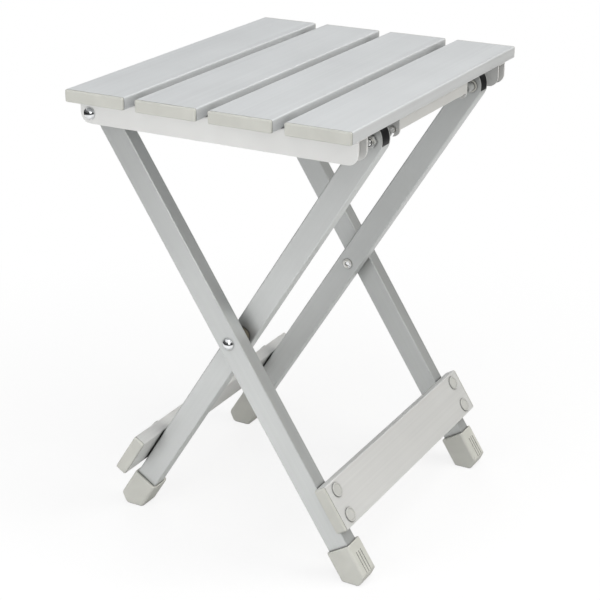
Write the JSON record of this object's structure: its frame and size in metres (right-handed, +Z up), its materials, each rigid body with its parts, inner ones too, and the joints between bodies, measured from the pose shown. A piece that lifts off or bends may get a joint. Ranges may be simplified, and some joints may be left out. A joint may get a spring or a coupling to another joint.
{
  "type": "folding stool",
  "caption": "Folding camping stool with a slatted flat seat on rails, crossed rectangular tube legs, plank crossbars and moulded feet; the seat tips up to close the legs.",
  "frame": {"origin": "on the floor under the centre of the seat, stool open", "axes": "+X across the slats towards the hooked bracket, +Y along the slats towards the rear, +Z up"},
  "size_m": [0.3032, 0.37, 0.467],
  "materials": {
    "slat_aluminium": "satin natural anodised extrusion",
    "rail_aluminium": "pale powder coat",
    "leg_aluminium": "satin natural anodised tube",
    "crossbar_aluminium": "satin natural anodised extrusion",
    "grey_cap_plastic": "warm grey moulding, fine grain",
    "grey_foot_plastic": "warm grey moulding, fine grain",
    "black_plastic": "black moulding",
    "bearing_plastic": "natural acetal",
    "khaki_plastic": "khaki moulding",
    "white_nylon": "natural nylon washer",
    "chrome_steel": "polished chrome plate",
    "zinc_steel": "bright zinc plate",
    "rivet_aluminium": "plain formed rivet"
  },
  "bodies": {
    "outer_frame": {"cross_pivot_bolts": "chrome_steel", "cross_pivot_sleeve_nuts": "zinc_steel", "cross_pivot_spacers": "khaki_plastic", "outer_crossbar": "crossbar_aluminium", "outer_crossbar_cap_front": "grey_cap_plastic", "outer_crossbar_cap_rear": "grey_cap_plastic", "outer_crossbar_rings": "black_plastic", "outer_crossbar_screws": "zinc_steel", "outer_foot_front": "grey_foot_plastic", "outer_foot_rear": "grey_foot_plastic", "outer_leg_front": "leg_aluminium", "outer_leg_plug_front": "black_plastic", "outer_leg_plug_rear": "black_plastic", "outer_leg_rear": "leg_aluminium", "outer_screw_covers": "grey_cap_plastic", "seat_pivot_bolts": "chrome_steel", "seat_pivot_sleeve_nuts": "zinc_steel", "seat_pivot_washers": "bearing_plastic"},
    "seat": {"bracket_rivets": "rivet_aluminium", "rail_bushes": "bearing_plastic", "rail_front": "rail_aluminium", "rail_rear": "rail_aluminium", "rail_rivets_front": "rivet_aluminium", "rail_rivets_rear": "rivet_aluminium", "seat_bracket": "rail_aluminium", "slat_1": "slat_aluminium", "slat_1_front_cap": "grey_cap_plastic", "slat_1_rear_cap": "grey_cap_plastic", "slat_2": "slat_aluminium", "slat_2_front_cap": "grey_cap_plastic", "slat_2_rear_cap": "grey_cap_plastic", "slat_3": "slat_aluminium", "slat_3_front_cap": "grey_cap_plastic", "slat_3_rear_cap": "grey_cap_plastic", "slat_4": "slat_aluminium", "slat_4_front_cap": "grey_cap_plastic", "slat_4_rear_cap": "grey_cap_plastic"},
    "inner_frame": {"catch_pin_nut_rings": "black_plastic", "catch_pin_nuts": "zinc_steel", "catch_pin_sleeves": "leg_aluminium", "catch_pin_washers": "white_nylon", "catch_pins": "zinc_steel", "cross_pivot_bushes": "bearing_plastic", "inner_crossbar": "crossbar_aluminium", "inner_crossbar_cap_front": "grey_cap_plastic", "inner_crossbar_cap_rear": "grey_cap_plastic", "inner_crossbar_rings": "black_plastic", "inner_crossbar_screws": "zinc_steel", "inner_foot_front": "grey_foot_plastic", "inner_foot_rear": "grey_foot_plastic", "inner_leg_front": "leg_aluminium", "inner_leg_plug_front": "black_plastic", "inner_leg_plug_rear": "black_plastic", "inner_leg_rear": "leg_aluminium", "inner_screw_covers": "grey_cap_plastic"}
  },
  "joints": [
    {"name": "seat_hinge", "type": "hinge", "parent": "outer_frame", "child": "seat", "pos_m": [-0.13675, 0, 0.4415], "axis": [0, -1, 0], "range_deg": [0, 120]},
    {"name": "leg_pivot", "type": "hinge", "parent": "outer_frame", "child": "inner_frame", "pos_m": [0, 0, 0.2258], "axis": [0, -1, 0], "range_deg": [0, 64.65]}
  ],
  "couplings": [
    {"joint": "leg_pivot", "follows": "seat_hinge", "ratio": 0.53873}
  ]
}
